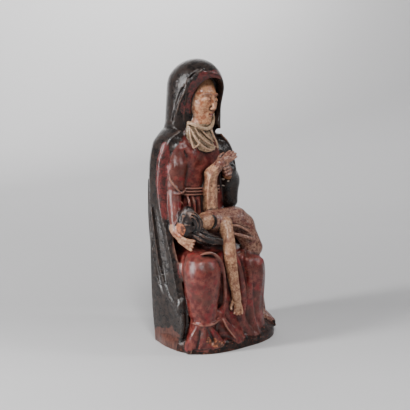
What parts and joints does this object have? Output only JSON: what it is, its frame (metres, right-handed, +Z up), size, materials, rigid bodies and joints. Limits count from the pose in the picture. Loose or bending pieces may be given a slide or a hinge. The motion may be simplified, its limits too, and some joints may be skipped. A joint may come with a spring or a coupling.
{
  "type": "pieta statue",
  "caption": "Seated mourning mother in a dark hooded mantle with her dead son across her lap, carved from a solid block of painted wood with its ground",
  "frame": {"origin": "middle of the underside's surrounding box, on the surface the statue stands on", "axes": "+X to the mother's left (right of the front view), -Y the way she faces, +Z up to the crown of the hood"},
  "size_m": [0.206, 0.1666, 0.4643],
  "materials": {
    "polychrome_wood": "old varnished paint over gesso on carved wood"
  },
  "bodies": {
    "root": {"pieta": "polychrome_wood"}
  },
  "joints": []
}
